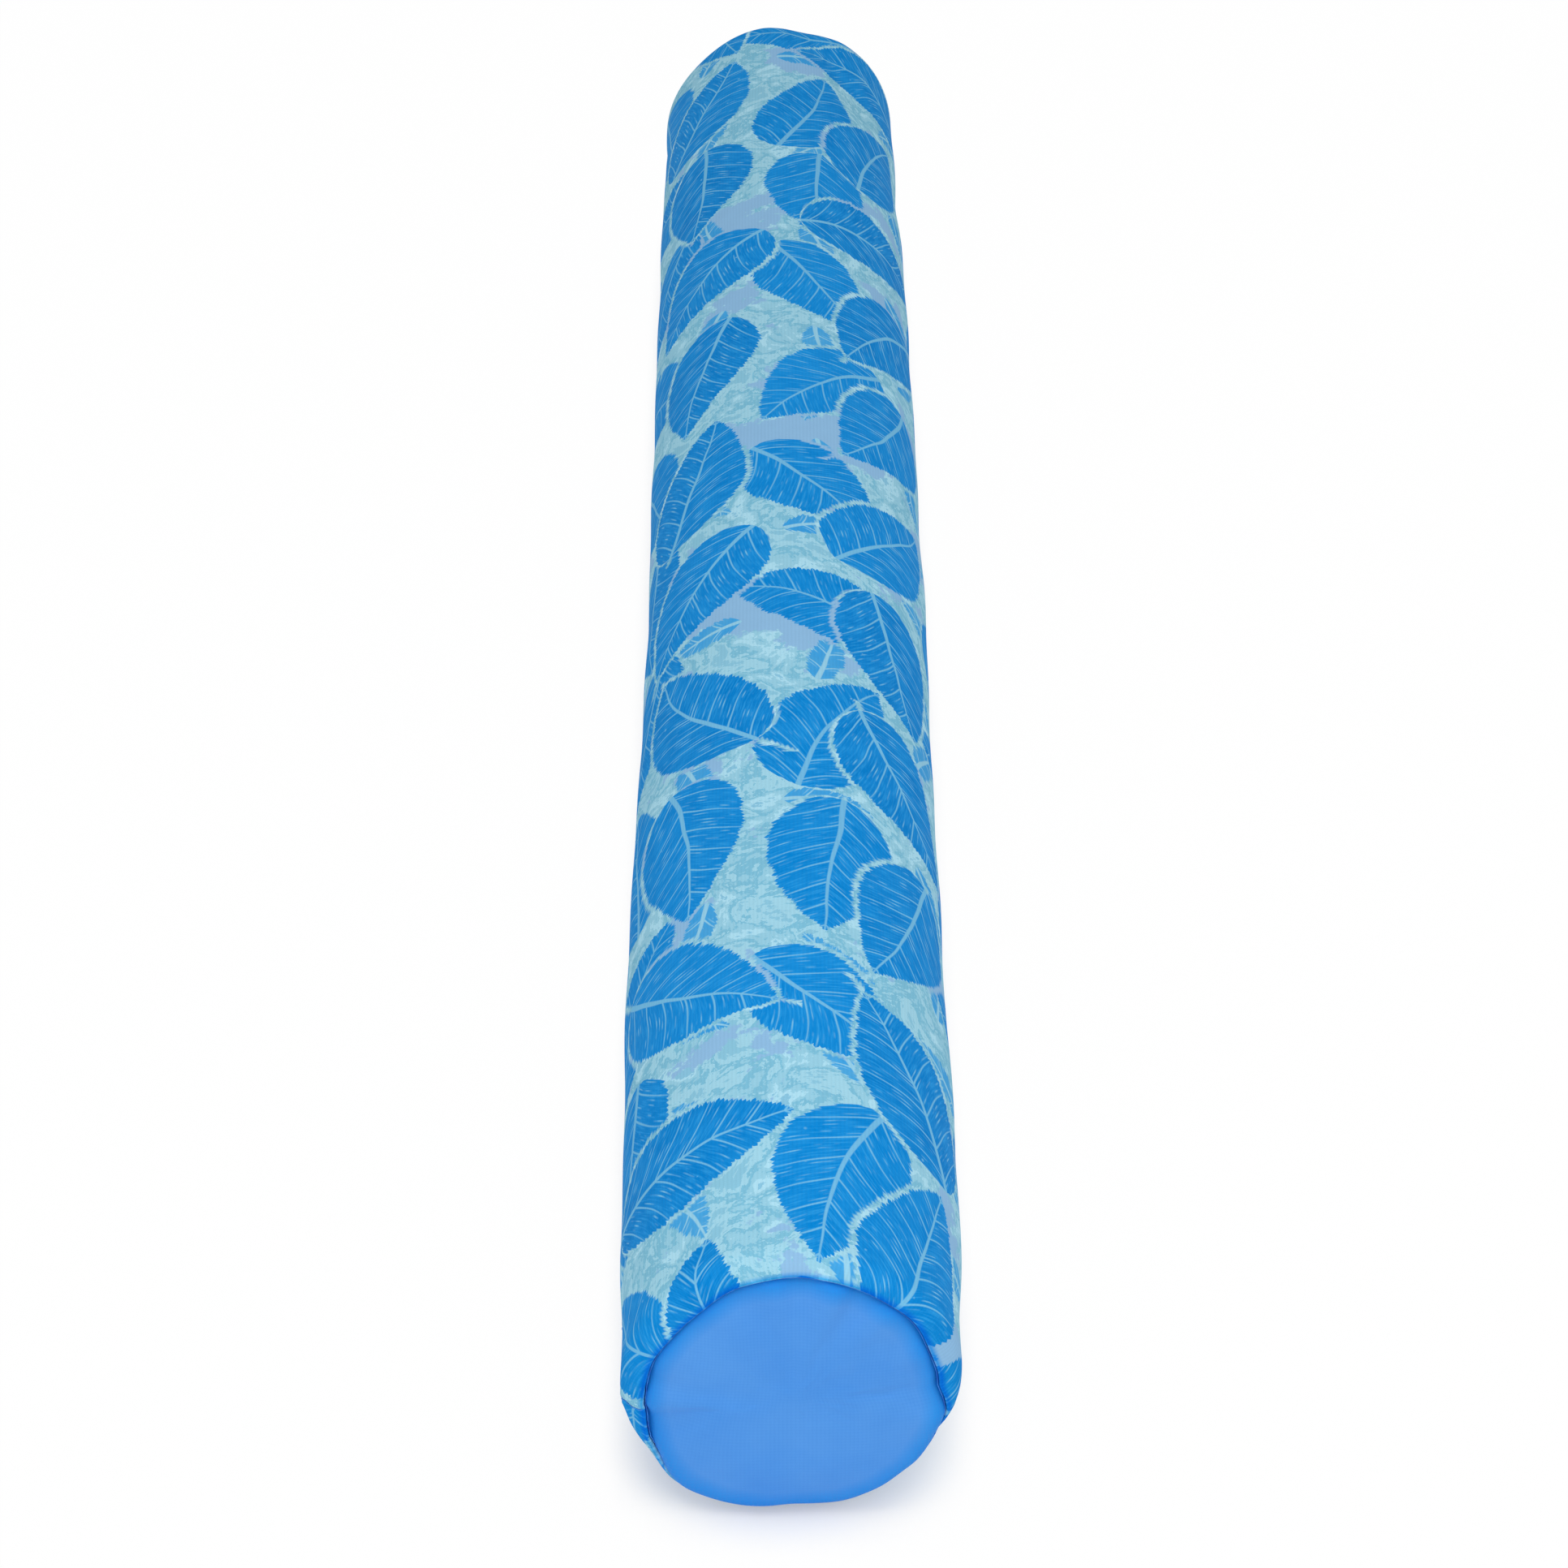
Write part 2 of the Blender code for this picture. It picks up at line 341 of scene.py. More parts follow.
def thicken(piece, spread):
    """Gives a sheet the cloth's thickness, on its inner side, and a second map that a print can be baked on.

    `spread` lays the cloth out in a unit square. The outer faces take most of the map, and the hidden ones
    the strip above them.
    """
    outer = len(piece.data.polygons)
    modifier = piece.modifiers.new("cloth_thickness", "SOLIDIFY")
    modifier.thickness = CLOTH
    modifier.offset = -1
    solid = bpy.data.meshes.new_from_object(piece.evaluated_get(bpy.context.evaluated_depsgraph_get()))
    piece.modifiers.clear()
    piece.data = solid
    solid.name = piece.name
    corners = np.empty(2 * len(solid.loops))
    solid.uv_layers["cloth"].uv.foreach_get("vector", corners)
    counts = np.empty(len(solid.polygons), dtype=int)
    solid.polygons.foreach_get("loop_total", counts)
    face = np.repeat(np.arange(len(counts)), counts)
    corners = corners.reshape(-1, 2)
    middles = np.stack([np.bincount(face, corners[:, axis]) / counts for axis in (0, 1)], axis=-1)
    spot = spread(corners, middles[face])
    start = np.where(face < outer, OUTER_START, HIDDEN_START)
    tall = np.where(face < outer, OUTER_TALL, HIDDEN_TALL)
    flat = np.stack([MAP_MARGIN + (1 - 2 * MAP_MARGIN) * spot[:, 0], start + tall * spot[:, 1]], axis=-1)
    solid.uv_layers.new(name="OFBake").uv.foreach_set("vector", flat.ravel())


# How the sewing pulls the cloth, settled at each end on a coarse grid and then added to the fine ones

SIM_REACH = 0.150
SIM_COLUMNS = 120
SIM_RUNS = np.append(crowded(52)[:26] * 2 * SIM_REACH, SIM_REACH)[::-1]
SIM_SHARES = np.linspace(1, 0.06, 17)[1:]
SIM_FRAMES = 20
HELD_FROM, HELD_OVER = 0.070, 0.060
EASED_SHARE, EASED_OVER = 0.10, 0.050
MOST_OUT = 1.6 * MM
MOST_IN = 0.7 * MM
MOST_ACROSS = 1.0 * MM


def settle(end):
    """Lets one end's cover settle under pressure, with the tube's cloth eased onto a shorter panel seam."""
    angle = np.linspace(0, 360, SIM_COLUMNS + 1) + SEAM_ANGLE
    rows = [end.place(*end.at(run, 0, angle), 0, angle) for run in SIM_RUNS]
    rows += [end.place(*end.face(share, 0, angle), 0, angle) for share in SIM_SHARES]
    before = np.array(rows)
    cloth = grid_mesh("settling", before, closed_tip=True, inside_out=end.side > 0)
    held = cloth.vertex_groups.new(name="held")
    eased_in = cloth.vertex_groups.new(name="eased_in")
    for row, run in enumerate(SIM_RUNS):
        members = list(range(row * SIM_COLUMNS, (row + 1) * SIM_COLUMNS))
        held.add(members, float(eased((run - HELD_FROM) / HELD_OVER)), "REPLACE")
        eased_in.add(members, float(1 - eased(run / EASED_OVER)), "REPLACE")
    modifier = cloth.modifiers.new("settle", "CLOTH")
    settings = modifier.settings
    settings.quality = 8
    settings.mass = 0.01
    settings.tension_stiffness = settings.compression_stiffness = 25
    settings.shear_stiffness = 8
    settings.bending_stiffness = 0.02
    settings.tension_damping = settings.compression_damping = settings.shear_damping = 8
    settings.air_damping = 3
    settings.use_pressure = True
    settings.uniform_pressure_force = 2.5
    settings.vertex_group_mass = "held"
    settings.pin_stiffness = 1
    settings.vertex_group_shrink = "eased_in"
    settings.shrink_min = 0
    settings.shrink_max = -EASED_SHARE
    settings.effector_weights.gravity = 0
    modifier.point_cache.frame_start, modifier.point_cache.frame_end = 1, SIM_FRAMES
    for number in range(1, SIM_FRAMES + 1):
        bpy.context.scene.frame_set(number)
    settled = cloth.evaluated_get(bpy.context.evaluated_depsgraph_get()).to_mesh()
    after = np.zeros(len(settled.vertices) * 3)
    settled.vertices.foreach_get("co", after)
    moved = after.reshape(len(rows), SIM_COLUMNS, 3) - before[:, :-1]
    bpy.data.objects.remove(cloth)
    bpy.context.scene.frame_set(1)
    return held_back(np.concatenate([moved, moved[:, :1]], axis=1), before, end)


def held_back(moved, before, end):
    """The settled cloth's moves, held to what the foam under it and the tight cover allow."""
    outward = np.cross(np.gradient(before, axis=0), np.gradient(before, axis=1))
    outward = outward / np.maximum(np.linalg.norm(outward, axis=-1, keepdims=True), 1e-12)
    well_inside = np.array([0, end.side * (LENGTH / 2 - 0.06), AXIS_HEIGHT])
    outward = outward * np.sign(np.sum(outward * (before - well_inside), axis=-1, keepdims=True))
    out = np.sum(moved * outward, axis=-1, keepdims=True)
    across = moved - out * outward
    slid = np.linalg.norm(across, axis=-1, keepdims=True)
    across = across * np.minimum(1, MOST_ACROSS / np.maximum(slid, 1e-9))
    return across + np.clip(out, -MOST_IN, MOST_OUT) * outward


# The pieces

COLUMNS = 208
EDGE_ROWS = 16
WALL_ROWS = 280
FOLD_ROWS = 7
UNDER_RUNS = np.linspace(SEAM_ALLOWANCE, 0.0008, 5)
CORE_WALL_RUNS = (0.004, 0.02, 0.05, 0.09, 0.14, 0.2, 0.28, 0.37, 0.46)
PANEL_SHARES = np.concatenate([
    [1, 0.997, 0.993, 0.987], np.linspace(0.98, 0.90, 9), np.linspace(0.88, 0.02, 27)])


def sleeve_end(end, angle):
    """The tube's rows at one end, and their runs: the hidden sewn edge, its fold, and the rounded edge."""
    rows, runs = [], []
    for run in UNDER_RUNS:
        rows.append(end.place(*end.at(run, FOLD_UNDER_DEPTH, angle), FOLD_UNDER_DEPTH, angle, run))
        runs.append(-run - math.pi * FOLD_RADIUS + 0 * angle)
    for turn in np.linspace(0, 1, FOLD_ROWS):
        rows.append(end.place(*end.fold(turn, angle), FOLD_UNDER_DEPTH * (1 - turn), angle, 0))
        runs.append(-math.pi * FOLD_RADIUS * (1 - turn) + 0 * angle)
    for share in np.linspace(0, 1, EDGE_ROWS)[1:]:
        run = share * end.edge_run(angle)
        rows.append(end.place(*end.at(run, 0, angle), 0, angle, run))
        runs.append(run)
    return rows, runs


def sleeve_cloth():
    """The printed tube, one piece of cloth from its sewn edge inside the front end to the one at the rear."""
    angle = round_angles(COLUMNS)
    front, front_runs = sleeve_end(FRONT, angle)
    rear, rear_runs = sleeve_end(REAR, angle)
    wall = LENGTH - FRONT.rim_inset - FRONT.edge(angle)[0] - REAR.rim_inset - REAR.edge(angle)[0]
    total = np.mean(front_runs[-1] + wall + rear_runs[-1])
    rows, lengths = list(front), list(front_runs)
    for share in crowded(WALL_ROWS)[1:-1]:
        past = share * wall
        length = (front_runs[-1] + past) * (1 - share) + (total - rear_runs[-1] - wall + past) * share
        end, run = (FRONT, front_runs[-1] + past) if share < 0.5 else (REAR, rear_runs[-1] + wall - past)
        rows.append(end.place(*end.at(run, 0, angle), 0, angle, run))
        lengths.append(length)
    rows += rear[::-1]
    lengths += [total - run for run in rear_runs[::-1]]
    around = (angle - SEAM_ANGLE) / 360 * GIRTH
    uv = np.stack(np.broadcast_arrays(around[None, :], np.array(lengths)), axis=-1)
    made = grid_mesh("sleeve_cloth", np.array(rows), uv, inside_out=True)
    first, last = uv[..., 1].min(), uv[..., 1].max()

    def two_strips(corners, middles):
        half = (last - first) / 2
        strip = middles[:, 1] > first + half
        across = (corners[:, 0] + strip * (GIRTH + 4 * MM)) / (2 * GIRTH + 4 * MM)
        return np.stack([across, (corners[:, 1] - first) / half - strip], axis=-1)

    thicken(made, two_strips)
    return made, float(total)


def panel_cloth(name, end):
    """A round of plain cloth that bulges inside its seam. Its sewn edge lies under the tube's fold."""
    angle = round_angles(COLUMNS)
    rows, cut_radii = [], []
    for run in UNDER_RUNS:
        rows.append(end.place(*end.at(run, PANEL_DEPTH, angle), PANEL_DEPTH, angle, run))
        cut_radii.append(PANEL_SEAM_RADIUS + run)
    for share in PANEL_SHARES:
        rows.append(end.place(*end.face(share, PANEL_DEPTH, angle), PANEL_DEPTH, angle, (share - 1) * RADIUS))
        cut_radii.append(PANEL_SEAM_RADIUS * share)
    turn = np.radians(angle)
    round_about = np.stack([np.cos(turn), np.sin(turn)], axis=-1)
    uv = np.array(cut_radii)[:, None, None] * round_about[None]
    made = grid_mesh(name, np.array(rows), uv, closed_tip=True, inside_out=end.side > 0)
    thicken(made, lambda corners, middles: 0.5 + corners / (2 * max(cut_radii)))
    return made


def foam_bar():
    """The foam bar inside, pressed round at its ends, with the bore along its middle."""
    angle = round_angles(96)
    bore_share = BORE_RADIUS / (RADIUS - SEAM_SET_IN)
    rows = []
    for end in (FRONT, REAR):
        depth = CORE_END_DEPTH
        half = [end.place(*end.face(share, depth, angle), depth, angle, (share - 1) * RADIUS)
                for share in np.linspace(bore_share, 1, 14)]
        half += [end.place(*end.at(run, depth, angle), depth, angle, run)
                 for run in np.linspace(0, SEAM_ALLOWANCE, 7)[1:]]
        half += [end.place(*end.at(run, CORE_WALL_DEPTH, angle), CORE_WALL_DEPTH, angle, run)
                 for run in end.edge_run(angle) + np.array(CORE_WALL_RUNS)[:, None]]
        rows += half if end is FRONT else half[::-1]
    return grid_mesh("foam_bar", np.array(rows), closed_loop=True, inside_out=True)


def stitched_thread(name, route, closed):
    """A sewing thread along a route: it rises over each stitch and dips into the cloth between stitches."""
    curve = bpy.data.curves.new(name, "CURVE")
    curve.dimensions = "3D"
    curve.bevel_depth = THREAD_RADIUS
    curve.bevel_resolution = 1
    curve.use_fill_caps = True
    spline = curve.splines.new("POLY")
    spline.points.add(len(route) - 1)
    for point, place in zip(spline.points, route):
        point.co = (*place, 1)
    spline.use_cyclic_u = closed
    made = bpy.data.objects.new(name, curve)
    bpy.context.scene.collection.objects.link(made)
    return made


def end_thread(name, end):
    """The stitches that join a panel to the tube, down in the crease."""
    steps = 3 * round(math.tau * (RADIUS - SEAM_SET_IN) / STITCH)
    angle = np.linspace(0, 360, steps, endpoint=False)
    dip = np.where(np.arange(steps) % 3 == 0, 1.0, 0.0)
    inset, radius = end.at(0, THREAD_DEPTH + dip * THREAD_RADIUS, angle)
    tilt = end.edge(angle)[1]
    reach = FOLD_RADIUS + LAYER_GAP + THREAD_RADIUS
    inset, radius = inset - reach * np.sin(tilt), radius - reach * np.cos(tilt)
    return stitched_thread(name, end.place(inset, radius, PANEL_DEPTH, angle, 0), True)


def lengthwise_thread():
    """The stitches that close the tube, down in its lengthwise crease."""
    route = []
    for end in (FRONT, REAR):
        seam = np.array([SEAM_ANGLE])
        far = float((LENGTH / 2 - end.rim_inset - end.edge(seam)[0] + end.edge_run(seam))[0])
        runs = np.arange(0, far, STITCH / 3)
        dip = np.where(np.arange(len(runs)) % 3 == 0, 1.0, -1.0)
        angle = SEAM_ANGLE + 0 * runs
        depth = -LAYER_GAP + dip * THREAD_RADIUS
        half = end.place(*end.at(runs, depth, angle), depth, angle, runs)
        route += list(half if end is FRONT else half[::-1])
    return stitched_thread("lengthwise_stitches", route, False)


# Materials


def linear(colour):
    """An sRGB hex colour as linear RGBA."""
    channels = [int(colour[i:i + 2], 16) / 255 for i in (1, 3, 5)]
    return (*[c / 12.92 if c <= 0.04045 else ((c + 0.055) / 1.055) ** 2.4 for c in channels], 1)


class Finish:
    """A material and its nodes."""

    def __init__(self, name):
        self.material = bpy.data.materials.new(name)
        self.material.use_nodes = True
        self.tree = self.material.node_tree
        self.tree.nodes.clear()

    def add(self, kind, *values, named=None, stops=None, blend="LINEAR", **settings):
        """Adds a node with its settings. The values go to its inputs in order, `named` ones by name: numbers,
        hex colours, or the nodes and sockets that feed them."""
        node = self.tree.nodes.new("ShaderNode" + kind)
        for setting, value in settings.items():
            setattr(node, setting, value)
        if stops:
            ramp = node.color_ramp
            ramp.interpolation = blend
            while len(ramp.elements) < len(stops):
                ramp.elements.new(1)
            for element, (position, colour) in zip(ramp.elements, stops):
                element.position, element.color = position, linear(colour)
        inputs = [socket for socket in node.inputs if socket.enabled]
        given = [(inputs[i], value) for i, value in enumerate(values)]
        given += [(node.inputs[name], value) for name, value in (named or {}).items()]
        for socket, value in given:
            if isinstance(value, bpy.types.Node):
                value = next(output for output in value.outputs if output.enabled)
            if isinstance(value, bpy.types.NodeSocket):
                self.tree.links.new(value, socket)
            elif isinstance(value, str):
                socket.default_value = linear(value)
            elif value is not None:
                socket.default_value = value
        return node


def leaf_layer(finish, cloth, cell, length, width, ribs, seed):
    """Broad leaves tossed one to a cell, in half-drop columns. `cloth` and all sizes are in mm.

    Gives the leaves, the bare rim that is kept round them, their pale veins, the softer brush strokes that
    run with the veins, and a chance value for each leaf.
    """
    add = finish.add

    # The cell, and the place in it
    spot = add("VectorMath", cloth, (1 / cell[0], 1 / cell[1], 0), operation="MULTIPLY")
    spot = add("VectorMath", spot, (0.37 * seed, 0.23 * seed, seed), operation="ADD")
    part = add("SeparateXYZ", spot)
    column = add("Math", part.outputs["X"], operation="FLOOR")
    dropped = add("Math", column, 0.5, part.outputs["Y"], operation="MULTIPLY_ADD")
    spot = add("CombineXYZ", part.outputs["X"], dropped, seed)
    home = add("VectorMath", spot, operation="FLOOR")
    chance = add("TexWhiteNoise", home, noise_dimensions="3D")
    chances = add("SeparateColor", chance.outputs["Color"])
    local = add("VectorMath", spot, home, operation="SUBTRACT")
    local = add("VectorMath", local, (0.5, 0.5, 0), operation="SUBTRACT")
    local = add("VectorMath", local, (cell[0], cell[1], 0), operation="MULTIPLY")

    # The leaf lies turned by chance, its edge wavers, and its middle vein bends
    turn = add("Math", chance.outputs["Value"], math.tau, operation="MULTIPLY")
    local = add("VectorRotate", rotation_type="Z_AXIS", named={"Vector": local, "Angle": turn})
    wander = add("TexNoise", named={"Vector": cloth, "Scale": 1.6 / length, "Detail": 2})
    wander = add("VectorMath", wander.outputs["Color"], (0.5, 0.5, 0.5), operation="SUBTRACT")
    local = add("VectorMath", wander, (0.14 * width,) * 3, local, operation="MULTIPLY_ADD")
    axes = add("SeparateXYZ", local)
    bend = add("Math", chances.outputs["Green"], 0.5, operation="SUBTRACT")
    bend = add("Math", bend, 0.6 / length, operation="MULTIPLY")
    squared = add("Math", axes.outputs["X"], 2, operation="POWER")
    across = add("Math", squared, bend, axes.outputs["Y"], operation="MULTIPLY_ADD")
    away = add("Math", across, operation="ABSOLUTE")

    # Half its width at a share of its length, widest before the middle
    share = add("Math", axes.outputs["X"], 1 / length, 0.5, operation="MULTIPLY_ADD", use_clamp=True)
    shape = add("Math", share, 0.72, operation="POWER")
    shape = add("Math", shape, math.pi, operation="MULTIPLY")
    shape = add("Math", shape, operation="SINE")
    shape = add("Math", shape, 0.75, operation="POWER")
    half = add("Math", shape, width / 2, operation="MULTIPLY")

    # Strokes `ribs` apart lean from the middle vein to the edge, and fray it
    slope = add("Math", away, 0.5 / width, -0.95, operation="MULTIPLY_ADD")
    lean = add("Math", away, slope, axes.outputs["X"], operation="MULTIPLY_ADD")
    tooth = add("Math", lean, ribs / 2, operation="PINGPONG")
    rib = add("Math", lean, 1 / ribs, operation="MULTIPLY")
    rib = add("Math", rib, operation="ROUND")
    half_of_leaf = add("Math", across, operation="SIGN")
    frayed = add("CombineXYZ", rib, half_of_leaf, chances.outputs["Red"])
    frayed = add("TexWhiteNoise", frayed, noise_dimensions="3D")
    inside = add("Math", half, away, operation="SUBTRACT")
    inside = add("Math", tooth, -1.1, inside, operation="MULTIPLY_ADD")
    inside = add("Math", frayed, -1.7, inside, operation="MULTIPLY_ADD")
    leaf = add("Math", inside, 2.0, 0.5, operation="MULTIPLY_ADD", use_clamp=True)
    rim = add("Math", inside, 0.6, 2.4, operation="MULTIPLY_ADD", use_clamp=True)

    # Pale strokes, broken along their length, with a side vein every sixth one and the middle vein
    broken = add("Math", away, 0.11, operation="MULTIPLY")
    broken = add("CombineXYZ", add("Math", rib, 3.7, operation="MULTIPLY"), broken, seed)
    broken = add("TexNoise", named={"Vector": broken, "Scale": 1, "Detail": 1})
    broken = add("Math", broken, 5.0, -2.7, operation="MULTIPLY_ADD", use_clamp=True)
    stroke = add("Math", tooth, -3.0, 1.7, operation="MULTIPLY_ADD", use_clamp=True)
    stroke = add("Math", stroke, broken, operation="MULTIPLY")
    side = add("Math", lean, 3 * ribs, operation="PINGPONG")
    side = add("Math", side, -1.6, 1.5, operation="MULTIPLY_ADD")
    thin = add("Math", away, 1.6 / width, operation="MULTIPLY")
    side = add("Math", side, thin, operation="SUBTRACT", use_clamp=True)
    spine = add("Math", share, -1.1, 1.5, operation="MULTIPLY_ADD")
    spine = add("Math", spine, away, operation="SUBTRACT")
    spine = add("Math", spine, 2.0, 0.4, operation="MULTIPLY_ADD", use_clamp=True)
    veins = add("Math", stroke, side, operation="MAXIMUM")
    veins = add("Math", veins, spine, operation="MAXIMUM")
    veins = add("Math", veins, leaf, operation="MULTIPLY")

    # Softer brush strokes
    brushed = add("Math", away, 0.09, operation="MULTIPLY")
    brushed = add("CombineXYZ", add("Math", lean, 0.9, operation="MULTIPLY"), brushed, seed)
    brushed = add("TexNoise", named={"Vector": brushed, "Scale": 1, "Detail": 3, "Roughness": 0.6})
    brushed = add("Math", brushed, 4.0, -1.9, operation="MULTIPLY_ADD", use_clamp=True)
    return leaf, rim, veins, brushed, chances.outputs["Blue"]


def printed_cloth(shown):
    """Woven polyester, printed and heat-set: matt with a faint sheen, its colours flat under fine threads.

    The threads stand 1 mm apart on the real cloth. They are drawn 1.8 mm apart round the tube and 1.2 mm
    along it, or they wouldn't show. Where it folds in to the panel, at the two ends of its `shown` length, it
    lies in the panel's blue light.
    """
    finish = Finish("printed_woven_polyester")
    add = finish.add
    uv = add("UVMap", uv_map="cloth")
    cloth = add("VectorMath", uv, (1000, 1000, 0), operation="MULTIPLY")

    # The ground: flat patches of aqua about 20 mm across, and some of pale blue about 60 mm across
    patches = add("TexNoise", named={
        "Vector": cloth, "Scale": 0.045, "Detail": 8, "Roughness": 0.66, "Distortion": 0.4})
    ground = add("ValToRGB", patches, blend="CONSTANT", stops=(
        (0, "#88C2DA"), (0.41, "#9ED1E4"), (0.475, "#7BBBD5"), (0.52, "#94CADF"), (0.58, "#AADAEC"),
        (0.64, "#86C0DB")))
    moved = add("VectorMath", cloth, (310, 170, 40), operation="ADD")
    shade = add("TexNoise", named={"Vector": moved, "Scale": 0.017, "Detail": 6, "Roughness": 0.66})
    shade = add("Math", shade, 60, -33, operation="MULTIPLY_ADD", use_clamp=True)
    ground = add("Mix", shade, ground, "#8CB9DE", data_type="RGBA")

    # Leaves over it, with paler blotches about 17 mm across and pale flecks up to 2 mm across. A layer has
    # its cell, a leaf's length and width, the spacing of its strokes, a seed, two blues and the veins' blue.
    blotch = add("TexNoise", named={"Vector": cloth, "Scale": 0.06, "Detail": 6, "Roughness": 0.7})
    blotch = add("Math", blotch, 3.4, -1.35, operation="MULTIPLY_ADD", use_clamp=True)
    fleck = add("TexVoronoi", named={"Vector": cloth, "Scale": 1 / 8})
    fleck_size = add("SeparateColor", fleck.outputs["Color"])
    fleck_size = add("Math", fleck_size, 0.20, -0.06, operation="MULTIPLY_ADD")
    fleck = add("Math", fleck_size, fleck.outputs["Distance"], operation="SUBTRACT")
    fleck = add("Math", fleck, 9, operation="MULTIPLY", use_clamp=True)
    colour = ground
    for cell, length, width, ribs, seed, dark, light, vein in (
        ((64, 58), 46, 20, 2.2, 5, "#3F9BD8", "#52A8DC", "#A0D4E6"),
        ((108, 104), 102, 62, 2.6, 2, "#0080CE", "#0A86D4", "#7CC0E2"),
        ((108, 104), 102, 64, 2.6, 3, "#007CCA", "#0884D2", "#80C4E4"),
    ):
        leaf, rim, veins, brushed, chance = leaf_layer(finish, cloth, cell, length, width, ribs, seed)
        blue = add("Mix", chance, dark, light, data_type="RGBA")
        blue = add("Mix", add("Math", blotch, 0.55, operation="MULTIPLY"), blue, "#2294DE", data_type="RGBA")
        blue = add("Mix", add("Math", brushed, 0.7, operation="MULTIPLY"), blue, "#38A4E6", data_type="RGBA")
        pale = add("Math", veins, fleck, operation="MAXIMUM")
        blue = add("Mix", add("Math", pale, 0.8, operation="MULTIPLY"), blue, vein, data_type="RGBA")
        colour = add("Mix", rim, colour, ground, data_type="RGBA")
        colour = add("Mix", leaf, colour, blue, data_type="RGBA")

    # Threads, the uneven take-up of the ink, and the light in the fold
    part = add("SeparateXYZ", cloth)
    rib = add("Math", part.outputs["X"], 0.9, operation="PINGPONG")
    weft = add("Math", part.outputs["Y"], 0.6, operation="PINGPONG")
    weave = add("Math", weft, 0.5, rib, operation="MULTIPLY_ADD")
    fading = add("TexNoise", named={"Vector": cloth, "Scale": 0.09, "Detail": 4})
    light = add("Math", weave, 0.07, 0.915, operation="MULTIPLY_ADD")
    light = add("Math", fading, 0.09, light, operation="MULTIPLY_ADD")
    light = add("CombineXYZ", light, light, light)
    colour = add("Mix", 1.0, colour, light, data_type="RGBA", blend_type="MULTIPLY")
    from_fold = add("Math", part.outputs["Y"], shown / MM / 2, operation="PINGPONG")
    from_fold = add("Math", from_fold, 1 / 2.2, operation="MULTIPLY", use_clamp=True)
    colour = add("Mix", 1.0, colour, add("Mix", from_fold, "#58C8FF", "#FFFFFF", data_type="RGBA"),
                 data_type="RGBA", blend_type="MULTIPLY")
    bump = add("Bump", named={"Height": weave, "Strength": 0.35, "Distance": 0.12 * MM})
    roughness = add("Math", weave, 0.12, 0.62, operation="MULTIPLY_ADD")
    shader = add("BsdfPrincipled", named={
        "Base Color": colour, "Roughness": roughness, "Normal": bump, "Specular IOR Level": 0.02,
        "Sheen Weight": 0.005, "Sheen Roughness": 0.4})
    add("OutputMaterial", shader)
    return finish.material


def plain_cloth():
    """Plain-dyed woven polyester of a finer thread: one even blue with a soft sheen and a faint square grain,
    and a painted shade towards its seam.

    Its threads stand about 1 mm apart. They are drawn 1.7 mm apart, or they wouldn't show.
    """
    finish = Finish("plain_woven_polyester")
    add = finish.add
    uv = add("UVMap", uv_map="cloth")
    cloth = add("VectorMath", uv, (1000, 1000, 0), operation="MULTIPLY")
    part = add("SeparateXYZ", cloth)
    warp = add("Math", part.outputs["X"], 0.85, operation="PINGPONG")
    weft = add("Math", part.outputs["Y"], 0.85, operation="PINGPONG")
    weave = add("Math", warp, weft, operation="ADD")
    dye = add("TexNoise", named={"Vector": cloth, "Scale": 0.022, "Detail": 4, "Roughness": 0.5})
    tone = add("Math", weave, 0.22, dye, operation="MULTIPLY_ADD")
    colour = add("ValToRGB", tone, stops=((0.42, "#418DE1"), (0.95, "#5299E6")))

    # Painted shade in the crease: the blue is made deeper and greener from 55 mm out from the middle to 67 mm
    out = add("VectorMath", cloth, operation="LENGTH")
    shade = add("ValToRGB", add("Math", out, 1 / 80, operation="MULTIPLY"), stops=(
        (0.69, "#FFFFFF"), (0.775, "#84F0FE"), (0.815, "#38E2FB"), (0.83, "#10C6F0"), (0.8375, "#00A0D8")))
    colour = add("Mix", 1.0, colour, shade, data_type="RGBA", blend_type="MULTIPLY")

    bump = add("Bump", named={"Height": weave, "Strength": 0.3, "Distance": 0.1 * MM})
    roughness = add("Math", weave, 0.2, 0.5, operation="MULTIPLY_ADD")
    shader = add("BsdfPrincipled", named={
        "Base Color": colour, "Roughness": roughness, "Normal": bump, "Specular IOR Level": 0.25,
        "Sheen Weight": 0.04, "Sheen Roughness": 0.4})
    add("OutputMaterial", shader)
    return finish.material


def foam():
    """Extruded closed-cell polyethylene foam: white, matt, with cells about 1.5 mm across."""
    finish = Finish("extruded_polyethylene_foam")
    add = finish.add
    place = add("VectorMath", add("TexCoord").outputs["Object"], (1000, 1000, 1000), operation="MULTIPLY")
    cells = add("TexVoronoi", named={"Vector": place, "Scale": 1 / 1.5})
    colour = add("ValToRGB", cells, stops=((0.1, "#D6DADC"), (0.8, "#EEF1F2")))
    bump = add("Bump", named={"Height": cells, "Strength": 0.4, "Distance": 0.2 * MM})
    shader = add("BsdfPrincipled", named={"Base Color": colour, "Roughness": 0.85, "Normal": bump})
    add("OutputMaterial", shader)
    return finish.material


def thread():
    """Twisted polyester sewing thread: blue, paler and deeper by turns 10 mm long, with a slight gloss."""
    finish = Finish("twisted_polyester_thread")
    add = finish.add
    place = add("TexCoord").outputs["Object"]
    turns = add("TexWave", named={"Vector": place, "Scale": 62.5, "Distortion": 1.0},
                bands_direction="DIAGONAL")
    colour = add("ValToRGB", turns, stops=((0.2, "#1668CC"), (0.8, "#3088E2")))
    shader = add("BsdfPrincipled", named={"Base Color": colour, "Roughness": 0.5})
    add("OutputMaterial", shader)
    return finish.material


